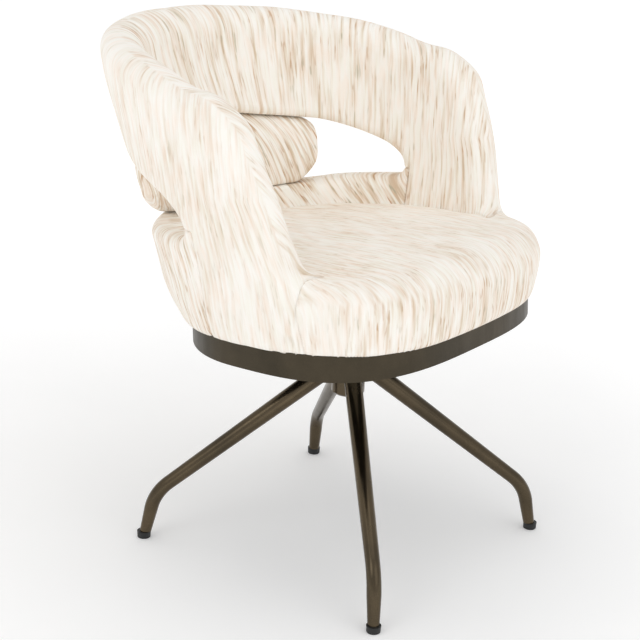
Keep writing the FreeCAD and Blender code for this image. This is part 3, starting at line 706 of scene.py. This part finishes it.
def fabric(name, first, second, third=None, bump=0.5):
    m, t, bsdf = new_material(name)
    looks = []
    for key, cloth in (("cloth_a", first), ("cloth_b", second), ("cloth_c", third)):
        if cloth is None:
            continue
        grp = t.node("ShaderNodeGroup")
        grp.node_tree = streak_group(name + "_" + key, *cloth)
        at = t.node("ShaderNodeAttribute", attribute_name=key)
        t.link(at.outputs["Vector"], grp.inputs["Map"])
        looks.append(grp)
    w = t.node("ShaderNodeAttribute", attribute_name="cloth_w")
    col = t.mix(w.outputs["Fac"], looks[0].outputs["Colour"], looks[1].outputs["Colour"])
    hm = t.node("ShaderNodeMix", data_type="FLOAT")
    t.link(w.outputs["Fac"], hm.inputs["Factor"])
    t.link(looks[0].outputs["Height"], hm.inputs[2])
    t.link(looks[1].outputs["Height"], hm.inputs[3])
    if third is not None:
        w2 = t.node("ShaderNodeAttribute", attribute_name="cloth_w2")
        col = t.mix(w2.outputs["Fac"], col, looks[2].outputs["Colour"])
        h2 = t.node("ShaderNodeMix", data_type="FLOAT")
        t.link(w2.outputs["Fac"], h2.inputs["Factor"])
        t.link(hm.outputs[0], h2.inputs[2])
        t.link(looks[2].outputs["Height"], h2.inputs[3])
        hm = h2
    t.link(col, bsdf.inputs["Base Color"])
    b = t.node("ShaderNodeBump")
    b.inputs["Strength"].default_value = bump
    b.inputs["Distance"].default_value = 0.0012
    t.link(hm.outputs[0], b.inputs["Height"])
    t.link(b.outputs[0], bsdf.inputs["Normal"])
    t.link(t.span(hm.outputs[0], 0.2, 0.8, 0.97, 0.86), bsdf.inputs["Roughness"])
    bsdf.inputs["Specular IOR Level"].default_value = 0.22
    bsdf.inputs["Sheen Weight"].default_value = 0.18
    bsdf.inputs["Sheen Roughness"].default_value = 0.5
    bsdf.inputs["Sheen Tint"].default_value = (1.0, 0.97, 0.93, 1)
    return m


def object_coords(t):
    return t.node("ShaderNodeTexCoord").outputs["Object"]


def metal(name, low, high, rough=(0.34, 0.48), metallic=0.9, speck=0.5, edge=0.0):
    """Dark bronze coat: slightly mottled, with a fine metallic grain and an uneven roughness."""
    m, t, bsdf = new_material(name)
    co = object_coords(t)
    cloud = t.noise(co, scale=9.0, detail=3.0, rough=0.6)
    grain = t.noise(co, scale=900.0, detail=1.0)
    col = t.ramp(cloud, [(0.3, low), (0.7, high)])
    col = t.mix(t.span(grain, 0.35, 0.75, 0.0, speck), col, tuple(min(1.0, c * 1.7) for c in high))
    t.link(col, bsdf.inputs["Base Color"])
    bsdf.inputs["Metallic"].default_value = metallic
    scuff = t.noise(t.vmul(co, (1.0, 1.0, 0.25)), scale=70.0, detail=4.0, rough=0.65)
    t.link(t.span(scuff, 0.3, 0.75, rough[0], rough[1]), bsdf.inputs["Roughness"])
    bmp = t.node("ShaderNodeBump")
    bmp.inputs["Strength"].default_value = 0.12
    bmp.inputs["Distance"].default_value = 0.0003
    t.link(grain, bmp.inputs["Height"])
    t.link(bmp.outputs[0], bsdf.inputs["Normal"])
    return m


def plain_plastic(name, colour, rough=(0.45, 0.62), scale=320.0):
    m, t, bsdf = new_material(name)
    co = object_coords(t)
    grain = t.noise(co, scale=scale, detail=3.0)
    cloud = t.noise(co, scale=25.0, detail=3.0)
    col = t.ramp(cloud, [(0.3, colour), (0.75, tuple(min(1, c * 1.5 + 0.004) for c in colour))])
    t.link(col, bsdf.inputs["Base Color"])
    t.link(t.span(cloud, 0.3, 0.7, rough[0], rough[1]), bsdf.inputs["Roughness"])
    b = t.node("ShaderNodeBump")
    b.inputs["Strength"].default_value = 0.2
    b.inputs["Distance"].default_value = 0.0004
    t.link(grain, b.inputs["Height"])
    t.link(b.outputs[0], bsdf.inputs["Normal"])
    return m


def zinc(name):
    m, t, bsdf = new_material(name)
    co = object_coords(t)
    cell = t.node("ShaderNodeTexVoronoi")
    t.link(co, cell.inputs["Vector"])
    cell.inputs["Scale"].default_value = 160.0
    col = t.ramp(cell.outputs["Distance"], [(0.0, srgb(150, 152, 152)), (1.0, srgb(196, 196, 190))])
    t.link(col, bsdf.inputs["Base Color"])
    bsdf.inputs["Metallic"].default_value = 1.0
    t.link(t.span(t.noise(co, scale=60.0, detail=3.0), 0.3, 0.7, 0.28, 0.5), bsdf.inputs["Roughness"])
    return m


def plywood(name):
    m, t, bsdf = new_material(name)
    co = object_coords(t)
    grain = t.noise(t.vmul(co, (6.0, 90.0, 400.0)), scale=1.0, detail=4.0, rough=0.6)
    plies = t.noise(t.vmul(co, (0.4, 0.4, 420.0)), scale=1.0, detail=0.0)
    col = t.ramp(grain, [(0.3, srgb(168, 128, 84)), (0.7, srgb(214, 178, 130))])
    col = t.mix(t.span(plies, 0.5, 0.6, 0.0, 0.35), col, srgb(120, 84, 52))
    t.link(col, bsdf.inputs["Base Color"])
    t.link(t.span(grain, 0.3, 0.7, 0.55, 0.75), bsdf.inputs["Roughness"])
    return m


def nonwoven(name):
    m, t, bsdf = new_material(name)
    co = object_coords(t)
    fibre = t.noise(co, scale=480.0, detail=3.0, rough=0.7, distortion=0.6)
    dimple = t.node("ShaderNodeTexVoronoi")
    t.link(co, dimple.inputs["Vector"])
    dimple.inputs["Scale"].default_value = 330.0
    t.link(t.ramp(fibre, [(0.3, srgb(22, 22, 22)), (0.75, srgb(52, 51, 50))]), bsdf.inputs["Base Color"])
    b = t.node("ShaderNodeBump")
    b.inputs["Strength"].default_value = 0.5
    b.inputs["Distance"].default_value = 0.0004
    t.link(dimple.outputs["Distance"], b.inputs["Height"])
    t.link(b.outputs[0], bsdf.inputs["Normal"])
    t.link(t.span(fibre, 0.3, 0.7, 0.8, 0.95), bsdf.inputs["Roughness"])
    return m


# ------------------------------------------------------------------ covers

covers = build_covers()
BODY = "seat"
# width and length of the streaks in mm, how tan, how many dark flecks, contrast
SPEC = {
    "hoop": ("hoop_cover", ("arm_left", "arm_right", "back_band"), maps_hoop,
             (4.2, 56.0, 0.32, 0.45, 0.66), (4.2, 64.0, 0.42, 0.7, 1.08), (4.0, 46.0, 0.22, 0.5, 1.0)),
    "rim": ("rim_cover", ("rear_rim",), maps_rim,
            (3.7, 56.0, 0.52, 0.8, 1.0), (4.9, 60.0, 0.78, 1.0, 1.55), None),
    "cushion": ("seat_cover", ("seat_cushion",), maps_cushion,
                (3.4, 32.0, 0.48, 0.45, 0.70), (3.9, 54.0, 0.52, 0.75, 0.95), (4.2, 56.0, 0.32, 0.45, 0.66)),
    "pad": ("lumbar_cover", ("lumbar_pad",), maps_pad,
            (5.0, 62.0, 0.84, 0.95, 1.45), (5.0, 62.0, 0.84, 0.95, 1.45), None),
}
for key, (name, stands_for, maps, first, second, third) in SPEC.items():
    v, q = largest_piece(*covers[key])
    ob = new_mesh_object(name, row_frame(v), q)
    if key != "pad":
        shade_as_one(ob.data, v)
    a, b, w, c, w2 = maps(v)
    set_attribute(ob.data, "cloth_a", a)
    set_attribute(ob.data, "cloth_b", b)
    set_attribute(ob.data, "cloth_w", w, "FLOAT")
    if third is not None:
        set_attribute(ob.data, "cloth_c", c)
        set_attribute(ob.data, "cloth_w2", w2, "FLOAT")
    ob.data.materials.append(fabric("cloth_" + key, first, second, third))
    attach(ob, BODY)
    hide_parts(*stands_for)

# ------------------------------------------------------------------ finishes of the carried-over pieces

LEG = metal("bronze_leg", srgb(70, 63, 52), srgb(98, 86, 68), rough=(0.17, 0.30), metallic=1.0, speck=0.2)
RING = metal("bronze_ring", srgb(58, 53, 43), srgb(76, 68, 55), rough=(0.36, 0.5), speck=0.2)
BLACK = plain_plastic("black_plastic", srgb(24, 25, 25))
FRAME = metal("black_frame", srgb(26, 26, 27), srgb(38, 38, 40), rough=(0.4, 0.6), metallic=0.6)
ZINC = zinc("zinc_plate")
PLY = plywood("ply")
DUST = nonwoven("dust_cloth")
FINISH = {"leg_metal": LEG, "ring_metal": RING, "glide_plastic": BLACK, "bush_plastic": BLACK,
          "zinc_steel": ZINC, "frame_steel": FRAME, "plywood": PLY, "cover_cloth": DUST}
slot_of = {p["node"]: p.get("material_slot") for p in frame["record"]["subparts"]}
for n, o in nodes.items():
    mat = FINISH.get(slot_of.get(n))
    if mat is not None:
        o.data.materials.clear()
        o.data.materials.append(mat)

# ------------------------------------------------------------------ floor, light, camera

floor = new_mesh_object("floor", [(-30, -30, 0), (30, -30, 0), (30, 30, 0), (-30, 30, 0)], [(0, 1, 2, 3)], smooth=False)
fm, ft, fb = new_material("floor_paint_and_glow")
ft.link(ft.ramp(ft.noise(object_coords(ft), scale=3.0, detail=3.0), [(0.3, srgb(246, 246, 246)), (0.7, srgb(249, 249, 249))]),
        fb.inputs["Base Color"])
fb.inputs["Roughness"].default_value = 0.9
# painted light: the floor glows, from 0.13 under the chair to 0.37 from 2 m out, which lifts the shadow under the chair
# and lights the chair from below
fb.inputs["Emission Color"].default_value = (1, 1, 1, 1)
far = ft.node("ShaderNodeVectorMath", operation="LENGTH")
ft.link(object_coords(ft), far.inputs[0])
ft.link(ft.span(far.outputs["Value"], 0.2, 2.0, 0.13, 0.37, smooth=True), fb.inputs["Emission Strength"])
fb.inputs["Specular IOR Level"].default_value = 0.1
floor.data.materials.append(fm)

world = bpy.data.worlds.new("studio")
scene.world = world
world.use_nodes = True
bg = world.node_tree.nodes["Background"]
bg.inputs["Color"].default_value = (1, 1, 1, 1)
wt = Tree(world.node_tree)
sky = wt.node("ShaderNodeSeparateXYZ")
wt.link(wt.node("ShaderNodeTexCoord").outputs["Generated"], sky.inputs[0])
wt.link(wt.span(sky.outputs[2], 0.02, 0.30, 0.98, 0.71, smooth=True), bg.inputs["Strength"])


def lamp(name, place, target, size, power, colour=(1, 1, 1)):
    data = bpy.data.lights.new(name, "AREA")
    data.shape = "RECTANGLE"
    data.size, data.size_y = size
    data.energy = power
    data.color = colour
    ob = bpy.data.objects.new(name, data)
    scene.collection.objects.link(ob)
    ob.location = place
    ob.rotation_mode = "QUATERNION"
    ob.rotation_quaternion = (Vector(place) - Vector(target)).to_track_quat("Z", "Y")
    return ob


# directions below are turned with the chair: the camera stands at azimuth -143 degrees
def polar(az, el, r):
    a, e = math.radians(az), math.radians(el)
    return (r * math.cos(a) * math.cos(e), r * math.sin(a) * math.cos(e), r * math.sin(e) + 0.4)


lamp("key", polar(176, 40, 3.2), (0, 0, 0.5), (1.6, 1.6), 9.5)
lamp("fill", polar(-100, 30, 3.4), (0, 0, 0.5), (2.4, 2.4), 10)
lamp("top", (0.2, -0.2, 3.4), (0, 0, 0.5), (2.6, 2.6), 11)

DH, HC, YAW, PITCH, ROLL, PHI, SC = 7.40, 3.70, math.radians(-1.20), math.radians(19.07), math.radians(2.75), math.radians(-55.1), 0.305
fw = Vector((math.sin(YAW) * math.cos(PITCH), math.cos(YAW) * math.cos(PITCH), -math.sin(PITCH)))
right = Vector((math.cos(YAW), -math.sin(YAW), 0))
up = right.cross(fw)
r2 = math.cos(ROLL) * right + math.sin(ROLL) * up
u2 = math.cos(ROLL) * up - math.sin(ROLL) * right
turn = Matrix.Rotation(PHI, 3, "Z")
fw, r2, u2 = turn @ fw, turn @ r2, turn @ u2
cam_data = bpy.data.cameras.new("camera")
cam = bpy.data.objects.new("camera", cam_data)
scene.collection.objects.link(cam)
place = turn @ Vector((0, -DH, HC)) * SC + Vector((0, AXIS_Y / 1000, 0))
cam.matrix_world = Matrix(((r2.x, u2.x, -fw.x, place.x), (r2.y, u2.y, -fw.y, place.y), (r2.z, u2.z, -fw.z, place.z), (0, 0, 0, 1)))
cam_data.lens = 90.0
cam_data.sensor_width = 36.0
cam_data.clip_start, cam_data.clip_end = 0.05, 100.0
scene.camera = cam
